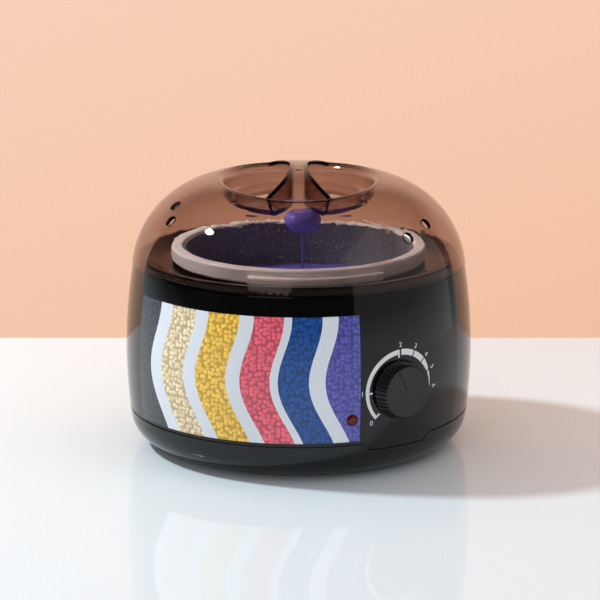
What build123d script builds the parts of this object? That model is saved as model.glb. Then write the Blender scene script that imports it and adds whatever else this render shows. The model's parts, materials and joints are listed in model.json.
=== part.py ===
from build123d import *
from math import asin, cos, degrees, pi, radians, sin, sqrt
import os

# Hard wax heater: a round two-part housing with an aluminium heating well, a
# removable wax pot, a smoked dome lid and a thermostat knob on its front.
# Millimetres. +Z is up, the table is z = 0 and the label faces -Y.
# An azimuth is counted from -Y towards +X, so the knob stands at a positive one.

os.makedirs("parts", exist_ok=True)

# ---- driving sizes: housing ----
max_radius = 89.5          # widest point of the body
bulge_height = 50.0        # height of that widest point
side_radius = 268.0        # radius of the barrel-shaped side
shell_wall = 2.4
base_wall = 2.5
foot_height = 2.0          # gap under the base cup
base_round = 15.5          # rounded lower edge of the base cup
seam_height = 20.5         # joint between base cup and body shell
seam_groove = 0.8          # shadow line at that joint
lip_height = 4.0           # lip of the base cup inside the shell
lip_wall = 1.4
lip_clearance = 0.15
lip_root_depth = 3.5       # the lip starts this far below the tongue
tongue_azimuth = 35.0      # the shell dips into the base cup under the knob
tongue_width = 31.0
tongue_slope = 7.0
tongue_depth = 4.0
tongue_gap = 0.5
tongue_round = 3.0

# ---- driving sizes: deck and heating well ----
ledge_height = 95.5        # ledge that the lid stands on
ledge_thickness = 2.5
deck_step_radius = 82.6    # raised rim of the deck, inside the lid
deck_rim_height = 100.0
deck_rim_width = 3.0
deck_rim_thickness = 3.8
deck_rim_round = 0.9
deck_floor_radius = 71.0   # outer radius of the flat trough round the pot
deck_height = 95.6
deck_trough_round = 6.0
deck_thickness = 3.6
deck_skin = 2.6
well_radius = 60.0         # inside of the heating well
well_wall = 1.5
well_floor_height = 49.7
well_top_drop = 0.4
well_mouth_gap = 0.2
well_corner = 9.0
flange_radius = 69.0
flange_thickness = 1.3
well_screw_circle = 65.0

# ---- driving sizes: pot, collar and wax ----
pot_radius = 58.0          # inside of the pot
pot_wall = 1.2
pot_bottom_height = 50.0
pot_corner = 8.0
pot_flange_height = 99.8   # top of the flange that carries the collar
pot_flange_radius = 63.2
pot_lip_drop = 1.2         # the pot's wall ends this far below the collar's top
pot_shoulder = 0.5         # the wall steps in by this much at the fill line
pot_fill_line = 91.5
collar_inner = 59.4
collar_outer = 65.5
collar_bottom = 97.0
collar_top = 104.5
collar_round = 1.3
grip_reach = 3.2           # grip ledge on each side of the collar
grip_height = 4.3
grip_azimuth = 8.0
grip_span = 60.0
wax_height = 81.0
wax_gap = 0.05

# ---- driving sizes: lid ----
lid_gap = 0.3              # between the lid's rim and its ledge
lid_radius = 86.0          # at the rim
lid_wall = 2.0
lid_side_radius = 50.0     # radius of the dome's side
lid_rim_angle = 7.6        # lean of the dome's side at its rim, degrees
pocket_depth = 10.2        # below the flat top of the dome
pocket_floor_x = 35.0
pocket_floor_y = 43.0
pocket_mouth_rise = 0.3    # the cut runs on this far above the dome
pocket_mouth_x = 39.5
pocket_mouth_y = 49.0
pocket_floor_round = 3.0
pocket_rim_round = 4.0
bridge_rise = 5.8          # top of the handle above the flat top of the dome
bridge_tip_radius = 63.0
bridge_half_waist = 4.3
bridge_flare_radius = 88.0
bridge_half_length = 60.0
bridge_slot = (3.0, 1.0)
bridge_slot_y = -9.0
vent_radius = 3.1
vent_places = ((45.8, 119.0), (60.5, 122.4), (-62.5, 123.3), (-70.0, 129.0))   # azimuth, height
drip_place = (2.0, -27.0)
drip_radius = 9.2
drip_length = 14.0
drip_root = 0.7            # radius where it clings to the lid, as a share of its widest
drip_widest = 0.21         # how far down it is widest, as a share of its length
drip_taper = (0.55, 0.7)   # a point of its taper: share of the radius, share of the length
thread_radius = 0.7

# ---- driving sizes: knob, thermostat and pilot lamp ----
knob_azimuth = 34.0
knob_height = 46.5
knob_radius = 15.0
knob_face_radius = 13.2
knob_depth = 7.0
knob_gap = 0.4
knob_cavity_radius = 11.6
knob_cavity_depth = 5.5
knob_boss_radius = 4.6
knob_face_round = 0.8
knob_pointer_angle = -27.0     # clockwise from straight up
knob_pointer_width = 0.8
knob_pointer_depth = 0.4
knurl_count = 40
knurl_radius = 0.55
shaft_radius = 3.0
shaft_flat = 0.8
shaft_clearance = 0.05
bush_radius = 5.0
bush_clearance = 0.1
nut_across = 13.0
nut_thickness = 2.2
spotface_depth = 0.5
nut_room = 1.5             # between the nut and the edge of its spotface
pad_radius = 9.5
pad_depth = 5.0
thermostat_size = (24.0, 20.0, 15.0)
tab_size = (6.3, 0.8, 6.0)
tab_offset = 6.0
tab_drop = 6.5
lens_azimuth = 17.3
lens_height = 33.4
lens_radius = 2.5
lens_clearance = 0.05
lens_proud = 1.2
lamp_radius = 1.7
lamp_length = 12.0

# ---- driving sizes: label, feet, screws, gland and inner parts ----
label_from = -64.0
label_to = 20.0
label_bottom = 22.0
label_top = 86.3
label_thickness = 0.3
label_gap = 0.03           # glue line
slot_pitch = 9.0           # cooling slots in the base
slot_size = (3.0, 26.0)
foot_radius = 7.0
foot_circle = 56.0
foot_stem_radius = 2.5
screw_circle = 70.0
screw_azimuths = (90.0, 210.0, 330.0)
post_radius = 4.0
post_bottom = 7.0
post_top = 40.0
post_web = 2.4
post_web_bottom = 26.0
screw_radius = 1.45
screw_pilot = 1.5
screw_hole = 1.7
screw_head_radius = 2.8
screw_head = 1.9
screw_length = 11.5
screw_head_round = 0.6
head_clearance = 0.4
gland_azimuth = 180.0
gland_height = 35.0
gland_bore = 3.3
gland_neck = 5.5
gland_flange = 7.4
gland_flange_depth = 1.7
gland_clearance = 0.1
gland_room = 0.4           # round the flange in its recess
clamp_bar_size = (27.0, 7.0, 2.5)
clamp_post_height = 14.0
clamp_post_radius = 3.3
clamp_post_spacing = 18.0
cord_clamp_inset = 26.5    # from the widest point of the body
cord_clamp_screw = 9.0
heater_thickness = 1.4
heater_bottom = 60.0
heater_height = 15.0
heater_gap_angle = 16.0
heater_tab_azimuths = (80.0, -80.0)
heater_tab_size = (6.0, 0.8, 7.5)
clamp_thickness = 0.6
clamp_height = 9.0
clamp_gap_angle = 9.0
clamp_ear = 7.5
clamp_screw_radius = 1.8
shield_radius = 67.5
shield_wall = 0.6
shield_bottom = 73.0
block_size = (34.0, 18.0, 14.0)
block_y = 40.0
block_pitch = 10.0
block_hole = 1.7
wire_height = 11.0
wire_radius = 1.1
lamp_wire_radius = 0.8
fuse_radius = 2.0
fuse_length = 14.0
fuse_place = (-20.0, 0.0)
bulb_radius = 2.2
bulb_length = 30.0
bulb_place = (22.0, -14.0)
capillary_radius = 0.7
clip_thickness = 0.7
clip_foot = 4.0
clip_width = 6.0

# ---- worked out from the sizes above ----
base_round_start = ((foot_height + base_round - base_round * bulge_height / side_radius)
                    / (1 - base_round / side_radius))
base_floor_top = foot_height + base_wall
lid_bottom = ledge_height + lid_gap
lid_arc_r = lid_radius - lid_side_radius * cos(radians(lid_rim_angle))
lid_arc_z = lid_bottom - lid_side_radius * sin(radians(lid_rim_angle))
dome_top = lid_arc_z + lid_side_radius
pocket_floor_height = dome_top - pocket_depth
pocket_mouth_height = dome_top + pocket_mouth_rise
bridge_apex_height = dome_top + bridge_rise
clamp_y = max_radius - cord_clamp_inset
well_bottom = well_floor_height - well_wall
knob_back = max_radius + knob_gap
nut_seat = max_radius - spotface_depth
pad_face = max_radius - pad_depth


def body_radius(height, inset=0.0):
    """Radius of the barrel-shaped side at a height, moved in by inset."""
    radius = side_radius - inset
    return max_radius - side_radius + sqrt(radius ** 2 - (height - bulge_height) ** 2)


def side_arc(low, high, inset=0.0):
    """The side's arc between two heights, as an edge in (radius, height)."""
    middle = (low + high) / 2
    return ThreePointArc((body_radius(low, inset), low),
                         (body_radius(middle, inset), middle),
                         (body_radius(high, inset), high))


def turned(outline, degrees_round=360.0):
    """Turn a closed outline, drawn in (radius, height), about the axis."""
    return revolve(Plane.XZ * make_face(outline), Axis.Z, degrees_round)


def ring(*points):
    """Turn a closed polygon of (radius, height) points about the axis."""
    return turned(Polyline(*points, close=True))


def sector(outline, middle, span):
    """Turn an outline through a span of degrees, centred on an azimuth."""
    return Rot(0, 0, middle - 90 - span / 2) * turned(outline, span)


def outward(azimuth, distance, height):
    """A place on the side: its Z points away from the axis and its Y points up."""
    across = (sin(radians(azimuth)), -cos(radians(azimuth)))
    along = (cos(radians(azimuth)), sin(radians(azimuth)), 0)
    return Plane(origin=(across[0] * distance, across[1] * distance, height),
                 x_dir=along, z_dir=(*across, 0)).location


def rod(radius, length):
    """A cylinder that starts at its place and runs along Z."""
    return Cylinder(radius, length, align=(Align.CENTER, Align.CENTER, Align.MIN))


def block(size):
    """A box that stands on its place."""
    return Box(*size, align=(Align.CENTER, Align.CENTER, Align.MIN))


def at(azimuth, radius, height=0.0):
    """A place over the floor, by azimuth and distance from the axis."""
    return Pos(radius * sin(radians(azimuth)), -radius * cos(radians(azimuth)), height)


def pan_screw(length):
    """A pan-head screw: its head's underside is at z = 0 and its shank runs up."""
    head = Pos(0, 0, -screw_head) * rod(screw_head_radius, screw_head)
    return fillet(head.edges().sort_by(Axis.Z)[0], screw_head_round) + rod(screw_radius, length)


def wire(radius, points):
    """A lead of round section: straight runs joined by arcs as large as the runs allow."""
    places = [Vector(*point) for point in points]
    radii = []
    for before, corner, after in zip(places, places[1:], places[2:]):
        first, second = corner - before, after - corner
        turn = radians(first.get_angle(second))
        radii.append(0.45 * min(first.length, second.length) / (sin(turn / 2) / cos(turn / 2)))
    path = FilletPolyline(*places, radius=radii)
    start = Plane(origin=path @ 0, z_dir=path % 0)
    tube = sweep(start * Circle(radius), path=path)
    print("wire", round(path.length, 1), "mm, least bend", round(min(radii), 1),
          "volume ratio", round(tube.volume / (pi * radius ** 2 * path.length), 4))
    return tube


def fitting_round(radius, before, corner, after):
    """The radius for a corner, or less where its two straight runs are too short for it."""
    first, second = Vector(*corner) - Vector(*before), Vector(*after) - Vector(*corner)
    half_turn = radians(first.get_angle(second)) / 2
    return min(radius, 0.7 * min(first.length, second.length) * cos(half_turn) / sin(half_turn))


def save(solid, name):
    """Write one piece as its own STEP file."""
    solid.label = name
    export_step(solid, f"parts/{name}.step")


# ---- housing ----
def tongue_prism(growth):
    """The dip of the seam under the knob, as a bar through the wall."""
    half = tongue_width / 2 + growth
    outline = Polyline((-half - tongue_slope, 1), (-half, -tongue_depth - growth),
                       (half, -tongue_depth - growth), (half + tongue_slope, 1), close=True)
    face = make_face(outline)
    low = face.vertices().sort_by(Axis.Y)[:2]
    face = fillet(low, tongue_round)
    place = outward(tongue_azimuth, max_radius - 3 * shell_wall, seam_height)
    return place * extrude(face, 4 * shell_wall)


def base_cup():
    lean = asin((base_round_start - bulge_height) / side_radius)
    centre = (body_radius(base_round_start) - base_round * cos(lean),
              base_round_start - base_round * sin(lean))

    def corner(inset):
        """The rounded lower edge, from the side down to the flat underside."""
        radius = base_round - inset
        middle = (lean - radians(90)) / 2
        return ThreePointArc((centre[0] + radius * cos(lean), centre[1] + radius * sin(lean)),
                             (centre[0] + radius * cos(middle), centre[1] + radius * sin(middle)),
                             (centre[0], centre[1] - radius))

    groove_bottom = seam_height - seam_groove
    groove_radius = body_radius(seam_height) - seam_groove
    inner_top = body_radius(seam_height, base_wall)
    inner_start = bulge_height + (side_radius - base_wall) * sin(lean)
    outline = (Line((0, foot_height), (centre[0], foot_height)) + corner(0)
               + side_arc(base_round_start, groove_bottom)
               + Polyline((body_radius(groove_bottom), groove_bottom), (groove_radius, groove_bottom),
                          (groove_radius, seam_height), (inner_top, seam_height))
               + side_arc(inner_start, seam_height, base_wall) + corner(base_wall)
               + Polyline((centre[0], base_floor_top), (0, base_floor_top), (0, foot_height)))
    cup = turned(outline)
    lip_outer = body_radius(seam_height, shell_wall) - lip_clearance
    lip_root = seam_height - tongue_depth - lip_root_depth
    cup += ring((lip_outer - lip_wall, lip_root), (lip_outer, lip_root),
                (lip_outer, seam_height + lip_height), (lip_outer - lip_wall, seam_height + lip_height))
    below_tongue = ring((lip_outer + 0.02, lip_root), (max_radius + 5, lip_root),
                        (max_radius + 5, seam_height + 1), (lip_outer + 0.02, seam_height + 1))
    cup -= tongue_prism(tongue_gap) & below_tongue
    for azimuth in screw_azimuths:
        cup += at(azimuth, screw_circle, foot_height) * rod(post_radius + 0.5, post_bottom - foot_height)
        cup -= at(azimuth, screw_circle, foot_height) * rod(screw_head_radius + head_clearance, base_wall)
        cup -= at(azimuth, screw_circle) * rod(screw_hole, post_top)
    for side in (-1, 1):
        post = Pos(side * clamp_post_spacing / 2, clamp_y, foot_height)
        cup += post * rod(clamp_post_radius, clamp_post_height - foot_height)
        cup -= (Pos(side * clamp_post_spacing / 2, clamp_y, base_floor_top)
                * rod(screw_pilot, clamp_post_height))
    for index in range(4):
        cup -= at(45 + 90 * index, foot_circle) * rod(foot_stem_radius, base_floor_top + 1)
    for row in range(-2, 3):
        cup -= Pos(row * slot_pitch, 0, foot_height) * Box(slot_size[0], slot_size[1], 3 * base_wall)
    return cup


def body_shell():
    wall_inner = body_radius(ledge_height - ledge_thickness, shell_wall)
    wall_low = (body_radius(seam_height, shell_wall), seam_height)
    wall = turned(Line(wall_low, (body_radius(seam_height), seam_height))
                  + side_arc(seam_height, ledge_height)
                  + Polyline((body_radius(ledge_height), ledge_height),
                             (body_radius(ledge_height, shell_wall), ledge_height))
                  + side_arc(seam_height, ledge_height, shell_wall))
    well_mouth = well_radius + well_wall + well_mouth_gap
    deck_outline = Polyline(
        (well_mouth, deck_height - deck_thickness), (deck_floor_radius + 0.5, deck_height - deck_thickness),
        (deck_step_radius - deck_rim_width, deck_rim_height - deck_rim_thickness),
        (deck_step_radius - deck_skin, deck_rim_height - deck_rim_thickness),
        (deck_step_radius - deck_skin, ledge_height - ledge_thickness),
        (wall_inner + 1.0, ledge_height - ledge_thickness), (wall_inner + 1.0, ledge_height),
        (deck_step_radius, ledge_height), (deck_step_radius, deck_rim_height),
        (deck_step_radius - deck_rim_width, deck_rim_height), (deck_floor_radius, deck_height),
        (well_mouth, deck_height), close=True)
    deck_face = make_face(deck_outline)
    rim_corners = [v for v in deck_face.vertices() if abs(v.Y - deck_rim_height) < 0.01]
    deck_face = fillet(rim_corners, deck_rim_round)
    trough_corners = [v for v in deck_face.vertices()
                      if abs(v.Y - deck_height) < 0.01 and v.X > well_mouth + 1]
    trough_round = fitting_round(deck_trough_round, (well_mouth, deck_height),
                                 (deck_floor_radius, deck_height),
                                 (deck_step_radius - deck_rim_width, deck_rim_height))
    deck_face = fillet(trough_corners, trough_round)
    shell = wall + revolve(Plane.XZ * deck_face, Axis.Z, 360)

    for azimuth in screw_azimuths:
        web_reach = body_radius(post_top, shell_wall) + 0.5 - screw_circle
        web = Rot(0, 0, azimuth) * Pos(0, -screw_circle - web_reach / 2, (post_top + post_web_bottom) / 2)
        shell += at(azimuth, screw_circle, post_bottom) * rod(post_radius, post_top - post_bottom)
        shell += web * Box(post_web, web_reach, post_top - post_web_bottom)
        shell -= at(azimuth, screw_circle, post_bottom) * rod(screw_pilot, screw_length)
    for azimuth, height in ((knob_azimuth, knob_height), (gland_azimuth, gland_height)):
        pad = outward(azimuth, pad_face, height) * rod(pad_radius, pad_depth - spotface_depth)
        shell += pad & turned(Line((0, 0), (body_radius(0, 0.5), 0)) + side_arc(0, ledge_height, 0.5)
                              + Polyline((body_radius(ledge_height, 0.5), ledge_height),
                                         (0, ledge_height), (0, 0)))
    bush_hole = rod(bush_radius + bush_clearance, pad_depth + 2)
    shell -= outward(knob_azimuth, pad_face - 1, knob_height) * bush_hole
    shell -= outward(knob_azimuth, nut_seat, knob_height) * rod(nut_across / 2 + nut_room, pad_depth)
    gland_hole = rod(gland_neck + gland_clearance, pad_depth + 2)
    shell -= outward(gland_azimuth, pad_face - 1, gland_height) * gland_hole
    shell -= (outward(gland_azimuth, max_radius - gland_flange_depth - 0.1, gland_height)
              * rod(gland_flange + gland_room, pad_depth))
    shell -= outward(lens_azimuth, pad_face - 5, lens_height) * rod(lens_radius + lens_clearance, 15)
    for index in range(4):
        place = at(45 + 90 * index, well_screw_circle, deck_height - deck_thickness - 1)
        shell -= place * rod(screw_pilot, deck_thickness - 0.2)
    tongue_low = seam_height - tongue_depth - 2
    tongue_high = seam_height + 2
    tongue_inner = body_radius(seam_height, shell_wall)
    band = turned(side_arc(tongue_low, tongue_high)
                  + Polyline((body_radius(tongue_high), tongue_high), (tongue_inner, tongue_high),
                             (tongue_inner, tongue_low), (body_radius(tongue_low), tongue_low)))
    shell += tongue_prism(0) & band
    return shell


def rubber_foot(index):
    stem = Pos(0, 0, foot_height) * rod(foot_stem_radius - 0.05, base_wall + 0.6)
    foot = rod(foot_radius, foot_height) + stem
    low_edge = foot.edges().filter_by(GeomType.CIRCLE).sort_by(Axis.Z)[0]
    return at(45 + 90 * index, foot_circle) * fillet(low_edge, 0.6)


def label():
    outer = -label_gap - label_thickness
    top_edge = Line((body_radius(label_top, -label_gap), label_top),
                    (body_radius(label_top, outer), label_top))
    outline = (side_arc(label_bottom, label_top, -label_gap) + top_edge
               + side_arc(label_bottom, label_top, outer)
               + Line((body_radius(label_bottom, -label_gap), label_bottom),
                      (body_radius(label_bottom, outer), label_bottom)))
    skin = sector(outline, (label_from + label_to) / 2, label_to - label_from)
    return skin - outward(lens_azimuth, pad_face, lens_height) * rod(lens_radius + 0.5, 12)


# ---- heating well and heater ----
def heating_well():
    outer = well_radius + well_wall
    top = deck_height - well_top_drop
    flange_top = deck_height - deck_thickness
    outline = Polyline((0, well_bottom), (outer, well_bottom), (outer, flange_top - flange_thickness),
                       (flange_radius, flange_top - flange_thickness), (flange_radius, flange_top),
                       (outer, flange_top), (outer, top), (well_radius, top),
                       (well_radius, well_floor_height), (0, well_floor_height), close=True)
    face = make_face(outline)
    face = fillet([v for v in face.vertices() if abs(v.X - outer) < 0.01 and abs(v.Y - well_bottom) < 0.01],
                  well_corner)
    face = fillet([v for v in face.vertices()
                   if abs(v.X - well_radius) < 0.01 and abs(v.Y - well_floor_height) < 0.01],
                  well_corner - well_wall)
    well = revolve(Plane.XZ * face, Axis.Z, 360)
    for index in range(4):
        well -= at(45 + 90 * index, well_screw_circle, flange_top - 5) * rod(screw_hole, 8)
    return well


def heat_shield():
    top = deck_height - deck_thickness - flange_thickness
    inner = shield_radius - shield_wall
    shield = ring((inner, shield_bottom), (shield_radius, shield_bottom),
                  (shield_radius + 1.5, top - shield_wall), (shield_radius + 1.5, top),
                  (well_radius + well_wall + 0.3, top),
                  (well_radius + well_wall + 0.3, top - shield_wall), (inner + 1.5, top - shield_wall))
    for index in range(4):
        shield -= at(45 + 90 * index, well_screw_circle, top - 5) * rod(screw_hole, 8)
    return shield


def well_screws():
    top = deck_height - deck_thickness - flange_thickness - shield_wall
    length = shield_wall + flange_thickness + deck_thickness - 1.3
    return [at(45 + 90 * index, well_screw_circle, top) * pan_screw(length) for index in range(4)]


def band_heater():
    inner = well_radius + well_wall
    outer = inner + heater_thickness
    top = heater_bottom + heater_height
    outline = Polyline((inner, heater_bottom), (outer, heater_bottom), (outer, top), (inner, top), close=True)
    heater = sector(outline, 0, 360 - heater_gap_angle)
    for azimuth in heater_tab_azimuths:
        width, thickness, length = heater_tab_size
        tab = outward(azimuth, inner + heater_thickness / 2, heater_bottom - length / 2)
        heater += tab * Box(width, length, thickness)
    return heater


def clamp_band():
    inner = well_radius + well_wall + heater_thickness
    outer = inner + clamp_thickness
    low = heater_bottom + (heater_height - clamp_height) / 2
    outline = Polyline((inner, low), (outer, low), (outer, low + clamp_height), (inner, low + clamp_height),
                       close=True)
    band = sector(outline, 0, 360 - clamp_gap_angle)
    for side in (-1, 1):
        angle = radians(clamp_gap_angle / 2)
        ear = Pos(side * (inner + clamp_ear / 2) * sin(angle), (inner + clamp_ear / 2) * cos(angle),
                  low + clamp_height / 2)
        band += ear * Box(clamp_thickness, clamp_ear, clamp_height)
    return band - clamp_hole(low)


def clamp_hole(low):
    place = Pos(0, well_radius + well_wall + heater_thickness + clamp_ear * 0.62, low + clamp_height / 2)
    return place * Rot(0, 90, 0) * Cylinder(clamp_screw_radius + 0.1, 30)


def clamp_screw():
    low = heater_bottom + (heater_height - clamp_height) / 2
    inner = well_radius + well_wall + heater_thickness
    reach = (inner + clamp_ear / 2) * sin(radians(clamp_gap_angle / 2)) + clamp_thickness / 2
    place = Pos(0, inner + clamp_ear * 0.62, low + clamp_height / 2)
    shank = place * Rot(0, 90, 0) * Cylinder(clamp_screw_radius, 2 * reach + 6)
    head = place * Pos(reach + 1.2, 0, 0) * Rot(0, 90, 0) * Cylinder(clamp_screw_radius * 1.6, 2.4)
    hexagon = extrude(RegularPolygon(clamp_screw_radius * 1.8, 6), 1.2, both=True)
    nut = place * Pos(-reach - 1.2, 0, 0) * Rot(0, 90, 0) * hexagon
    return shank + head + nut


def saddle_clip(radius, width):
    """A spring saddle that holds a round part of this radius up against a flat face at z = 0."""
    outer = radius + clip_thickness
    strip = Pos(0, -radius) * Circle(outer) + Pos(0, -radius / 2) * Rectangle(2 * outer, radius)
    strip += Pos(0, -clip_thickness / 2) * Rectangle(2 * (outer + clip_foot), clip_thickness)
    strip -= Pos(0, -radius) * Circle(radius) + Pos(0, -radius / 2) * Rectangle(2 * radius, radius)
    strip -= Pos(0, outer) * Rectangle(4 * outer, 2 * outer)
    return extrude(Plane.YZ * strip, width / 2, both=True)


def thermal_fuse():
    return Pos(*fuse_place, well_bottom - fuse_radius) * Rot(0, 90, 0) * Cylinder(fuse_radius, fuse_length)


def sensing_bulb():
    height = well_bottom - bulb_radius
    bulb = Pos(*bulb_place, height) * Rot(0, 90, 0) * Cylinder(bulb_radius, bulb_length)
    start = (bulb_place[0] + bulb_length / 2 - 1, bulb_place[1], height)
    entry_height = knob_height - 3
    inlet = outward(knob_azimuth, pad_face - thermostat_size[2], entry_height).position
    lead_in = outward(knob_azimuth, pad_face - thermostat_size[2] - 9, entry_height).position
    return bulb + wire(capillary_radius, [start, (start[0] + 9, start[1] - 1, height - 0.5),
                                          (start[0] + 11, start[1] - 10, height - 2.5),
                                          (lead_in.X + 5, lead_in.Y + 8, entry_height + 0.3),
                                          (lead_in.X, lead_in.Y, entry_height),
                                          (inlet.X, inlet.Y, entry_height)])


# ---- thermostat, knob and pilot lamp ----
def shaft_bar(radius, low, high):
    return outward(knob_azimuth, low, knob_height) * rod(radius, high - low)


def thermostat_body():
    width, height, depth = thermostat_size
    body = outward(knob_azimuth, pad_face - depth / 2, knob_height) * Box(width, height, depth)
    body = fillet(body.edges(), 1.0)
    body += shaft_bar(bush_radius, pad_face - 1, nut_seat + nut_thickness + 0.8)
    body -= shaft_bar(shaft_radius + shaft_clearance, pad_face - 6, knob_back + 6)
    for side in (-1, 1):
        tab_width, tab_thickness, tab_length = tab_size
        place = outward(knob_azimuth, pad_face - depth - tab_length / 2 + 0.5, knob_height - tab_drop)
        body += place * Pos(side * tab_offset, 0, 0) * Box(tab_width, tab_thickness, tab_length + 1)
    return body


def thermostat_nut():
    hexagon = RegularPolygon(nut_across / 2, 6, major_radius=False)
    nut = outward(knob_azimuth, nut_seat, knob_height) * extrude(hexagon, nut_thickness)
    return nut - shaft_bar(bush_radius + bush_clearance, nut_seat - 1, nut_seat + nut_thickness + 1)


def thermostat_shaft():
    shaft = shaft_bar(shaft_radius, pad_face - 5.5, knob_back + knob_depth - 1.6)
    flat = outward(knob_azimuth, knob_back + 2.6, knob_height) * Pos(0, shaft_radius * 2 - shaft_flat, 0)
    return shaft - flat * block((4 * shaft_radius, 2 * shaft_radius, knob_depth))


def control_knob():
    seat = outward(knob_azimuth, knob_back, knob_height)
    knob = seat * Cone(knob_radius, knob_face_radius, knob_depth,
                       align=(Align.CENTER, Align.CENTER, Align.MIN))
    away = Axis(seat.position, Axis(seat).direction)
    knob = fillet(knob.edges().filter_by(GeomType.CIRCLE).sort_by(away)[-1], knob_face_round)
    knob -= seat * rod(knob_cavity_radius, knob_cavity_depth)
    boss_start = nut_seat + nut_thickness + 1.3 - knob_back
    knob += seat * Pos(0, 0, boss_start) * rod(knob_boss_radius, knob_cavity_depth - boss_start + 0.5)
    lean = degrees(asin((knob_radius - knob_face_radius) / knob_depth))
    groove = Cylinder(knurl_radius, 2 * knob_depth)
    beside = Pos((knob_radius + knob_face_radius) / 2, 0, knob_depth / 2) * Rot(0, -lean, 0)
    knob -= [seat * Rot(0, 0, 360 * index / knurl_count) * beside * groove for index in range(knurl_count)]
    pointer = Pos(0, knob_face_radius * 0.52, knob_depth - knob_pointer_depth)
    bar = block((knob_pointer_width, knob_face_radius * 0.8, 2 * knob_pointer_depth))
    knob -= seat * Rot(0, 0, -knob_pointer_angle) * pointer * bar
    return knob - thermostat_shaft()


def knob_spring():
    seat = outward(knob_azimuth, knob_back + knob_cavity_depth - 1.8, knob_height)
    return seat * (rod(knob_boss_radius + 0.6, 1.5) - rod(knob_boss_radius, 1.5))


def pilot_lens():
    wall_outer = body_radius(lens_height)
    inner_end = pad_face - 3
    length = wall_outer + lens_proud - inner_end
    lens = outward(lens_azimuth, inner_end, lens_height) * rod(lens_radius, length)
    seat = outward(lens_azimuth, inner_end, lens_height)
    away = Axis(seat.position, Axis(seat).direction)
    lens = fillet(lens.edges().filter_by(GeomType.CIRCLE).sort_by(away)[-1], lens_proud - 0.1)
    lens += seat * rod(lens_radius + 1.1, 1.6)
    return lens - seat * rod(lamp_radius + 0.15, length - 2.2)


def pilot_lamp():
    end = body_radius(lens_height) + lens_proud - 2.6
    glass = outward(lens_azimuth, end - lamp_length, lens_height) * rod(lamp_radius, lamp_length)
    away = Axis(glass.center(), Axis(outward(lens_azimuth, 0, 0)).direction)
    return fillet(glass.edges().filter_by(GeomType.CIRCLE).sort_by(away)[-1], 1.2)


# ---- wiring and cord entry ----
def terminal_block():
    width, depth, height = block_size
    body = Pos(0, block_y, base_floor_top) * block(block_size)
    body = fillet(body.edges().filter_by(Axis.Z), 1.0)
    for column in (-1, 0, 1):
        entry = Pos(column * block_pitch, block_y, wire_height) * Rot(90, 0, 0)
        body -= entry * Pos(0, 0, depth / 2 - 4) * rod(block_hole, 6)
        body -= entry * Pos(0, 0, -depth / 2 - 2) * rod(block_hole, 6)
        for side in (-1, 1):
            body -= (Pos(column * block_pitch, block_y + side * depth / 4, base_floor_top + height - 4)
                     * rod(2.2, 5))
    return body


def lead(points):
    return wire(wire_radius, points)


def block_exit(column):
    """Where a lead leaves the terminal block, and a point straight ahead of it."""
    front = block_y - block_size[1] / 2
    return [(column * block_pitch, front, wire_height), (column * block_pitch, front - 14, wire_height)]


def tab_entry(side):
    """A point in line with a thermostat tab, and the tab's own end."""
    depth = pad_face - thermostat_size[2] - tab_size[2]
    points = []
    for distance in (depth - 14, depth):
        spot = outward(knob_azimuth, distance, knob_height - tab_drop) * Pos(side * tab_offset, 0, 0)
        points.append(tuple(spot.position))
    return points


def heater_entry(index):
    """A point under a heater tab, and the tab's lower end."""
    end_height = heater_bottom - heater_tab_size[2]
    spot = at(heater_tab_azimuths[index], well_radius + well_wall + heater_thickness / 2).position
    return [(spot.X, spot.Y, end_height - 14), (spot.X, spot.Y, end_height)]


def lead_live():
    return lead(block_exit(1) + [(16, -14, 20), (20, -34, 34)] + tab_entry(-1))


def lead_heater():
    tab_end = list(reversed(tab_entry(1)))
    return lead(tab_end + [(44, -26, 34), (55, -14, 33)] + heater_entry(0))


def lead_neutral():
    fuse_end = fuse_place[0] + fuse_length / 2
    height = well_bottom - fuse_radius
    return lead(block_exit(-1) + [(-6, 4, 24), (1, 0, 38), (-3, 0, height), (fuse_end, 0, height)])


def lead_fuse():
    fuse_end = fuse_place[0] - fuse_length / 2
    height = well_bottom - fuse_radius
    return lead([(fuse_end, 0, height), (fuse_end - 10, 0, height), (-48, -5, 36)] + heater_entry(1))


def lamp_lead():
    end = body_radius(lens_height) + lens_proud - 2.6 - lamp_length
    spot = outward(lens_azimuth, end, lens_height).position
    before = outward(lens_azimuth, end - 13, lens_height).position
    return wire(lamp_wire_radius, block_exit(0) + [(3, -8, 12), (9, -34, 20), tuple(before), tuple(spot)])


def cord_gland():
    outer_end = max_radius - 0.1
    flange_start = max_radius - gland_flange_depth - 0.1
    bush = outward(gland_azimuth, flange_start, gland_height) * rod(gland_flange, outer_end - flange_start)
    bush += outward(gland_azimuth, pad_face - 2, gland_height) * rod(gland_neck, outer_end - pad_face + 2)
    bush += outward(gland_azimuth, pad_face - 2, gland_height) * rod(gland_neck + 1.2, 2)
    return bush - outward(gland_azimuth, pad_face - 5, gland_height) * rod(gland_bore, 20)


def cord_clamp():
    width, depth, thickness = clamp_bar_size
    place = Pos(0, clamp_y, clamp_post_height)
    bar = place * block(clamp_bar_size)
    arch = place * Rot(90, 0, 0) * Cylinder(gland_bore + thickness, depth)
    bar += arch & (place * block((width, depth, 20)))
    bar -= place * Rot(90, 0, 0) * Cylinder(gland_bore, depth + 2)
    for side in (-1, 1):
        bar -= place * Pos(side * clamp_post_spacing / 2, 0, -1) * rod(screw_hole, 10)
    return bar


def cord_clamp_screws():
    top = clamp_post_height + clamp_bar_size[2]
    return [Pos(side * clamp_post_spacing / 2, clamp_y, top) * Rot(180, 0, 0) * pan_screw(cord_clamp_screw)
            for side in (-1, 1)]


def housing_screws():
    return [at(azimuth, screw_circle, base_floor_top) * pan_screw(screw_length) for azimuth in screw_azimuths]


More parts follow.
